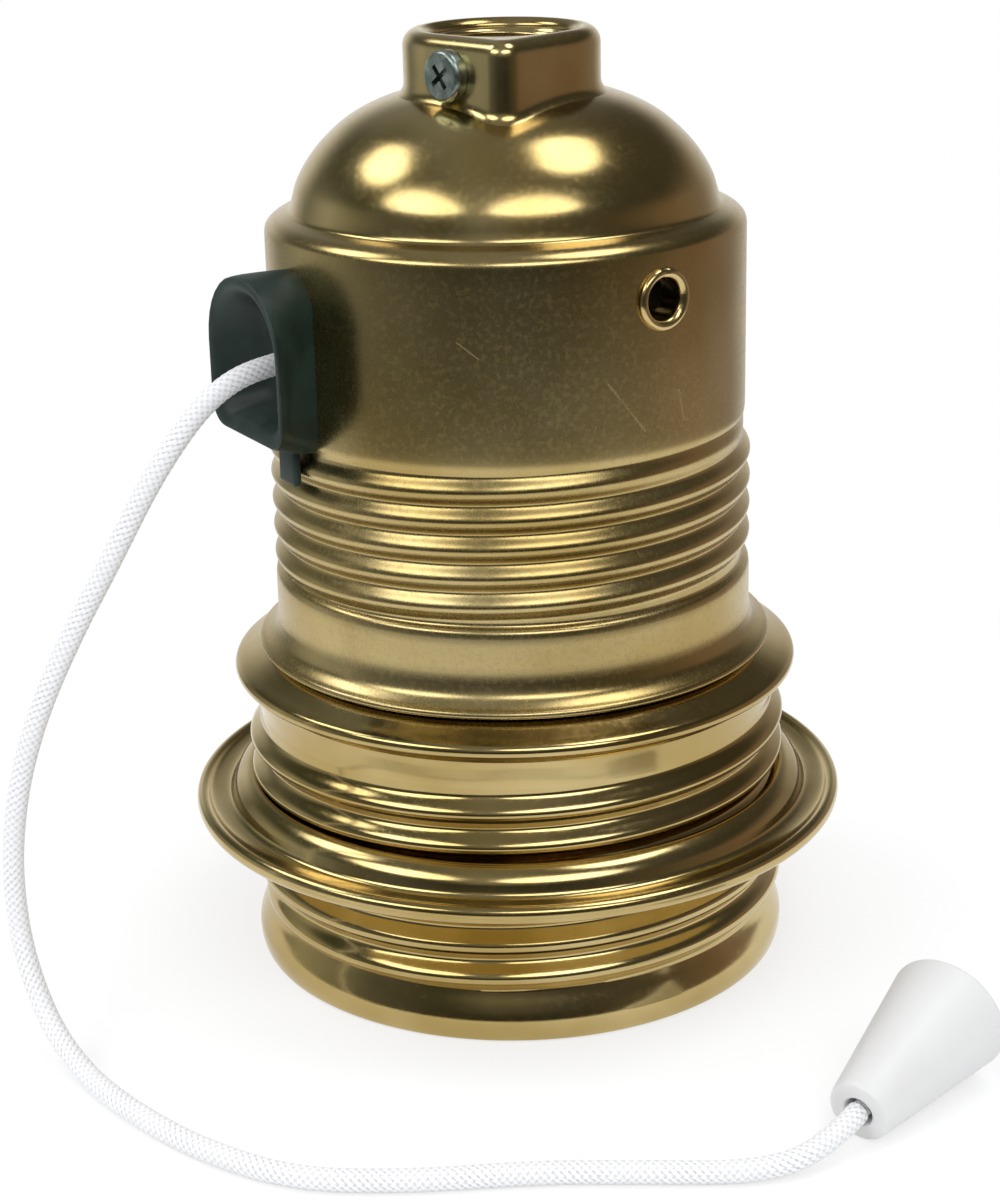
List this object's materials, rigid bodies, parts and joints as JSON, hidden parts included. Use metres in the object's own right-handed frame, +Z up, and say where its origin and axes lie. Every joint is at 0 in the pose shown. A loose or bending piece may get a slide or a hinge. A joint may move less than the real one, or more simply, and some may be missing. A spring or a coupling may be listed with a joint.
{
  "type": "pull-switch lamp holder",
  "caption": "Round brass-plated lamp holder with a threaded top entry, threaded lower skirt with a screw-on shade ring, and a side cord outlet whose pull cord works an internal switch.",
  "frame": {"origin": "centre of the mouth rim, on the surface that the holder stands on", "axes": "+Z up the holder axis from the lamp mouth to the threaded entry; -Y is the front, with the nose of the neck; the cord leaves at 210 degrees about Z from +X"},
  "size_m": [0.0684, 0.0633, 0.068],
  "materials": {
    "brass_shell": "bright brass plating on drawn steel sheet, olive-yellow, mirror-like with soft brushing",
    "brass_ring": "bright brass plating",
    "brass_nut": "machined brass",
    "zinc_steel": "zinc-plated steel with a greenish passivation",
    "nickel_shell": "nickel-plated sheet",
    "bronze_spring": "phosphor bronze strip",
    "white_ceramic": "unglazed steatite, off-white",
    "dark_moulding": "dark brown thermoset moulding",
    "pale_moulding": "cream moulded plastic",
    "green_black_moulding": "very dark green satin moulded plastic",
    "white_braid": "white braided polyester cord",
    "white_moulding": "white moulded plastic, satin"
  },
  "bodies": {
    "holder": {"cap_shell": "brass_shell", "entry_nut": "brass_nut", "stop_screw": "zinc_steel", "skirt_shell": "brass_shell", "socket_ceramic": "white_ceramic", "lamp_screw_shell": "nickel_shell", "shell_rivets": "nickel_shell", "centre_rivet": "brass_nut", "centre_contact": "bronze_spring", "switch_body": "dark_moulding", "lever_axle": "zinc_steel", "contact_leaves": "bronze_spring", "return_leaf": "bronze_spring", "carrier_plate": "zinc_steel", "body_eyelets": "brass_ring", "stack_screws": "zinc_steel", "terminal_block": "white_ceramic", "terminal_posts": "brass_nut", "terminal_screws": "zinc_steel", "earth_screw": "zinc_steel", "earth_washer": "zinc_steel", "cord_outlet": "green_black_moulding"},
    "ring": {"shade_ring": "brass_ring"},
    "pull": {"pull_cord": "white_braid", "cord_inner_end": "white_braid", "pull_cone": "white_moulding", "cone_knot": "white_braid"},
    "lever": {"switch_lever": "zinc_steel", "drive_pawl": "bronze_spring"},
    "rotor": {"switch_rotor": "pale_moulding", "rotor_band": "bronze_spring"}
  },
  "joints": [
    {"name": "ring_travel", "type": "slide", "parent": "holder", "child": "ring", "axis": [0, 0, 1], "range_m": [-0.0104, 0.0074]},
    {"name": "cord_pull", "type": "slide", "parent": "holder", "child": "pull", "axis": [-0.866, -0.5, 0], "range_m": [0, 0.00568], "stiffness_N_per_m": 120, "springref_m": -0.002},
    {"name": "lever_swing", "type": "hinge", "parent": "holder", "child": "lever", "pos_m": [0, 0, 0.0392], "axis": [0.5, -0.866, 0], "range_deg": [0, 40.01], "deforming": ["return_leaf"]},
    {"name": "rotor_turn", "type": "hinge", "parent": "holder", "child": "rotor", "pos_m": [0, 0, 0.0392], "axis": [0.5, -0.866, 0], "continuous": true}
  ],
  "couplings": [
    {"joint": "lever_swing", "follows": "cord_pull", "rad_per_m": 122.95}
  ]
}
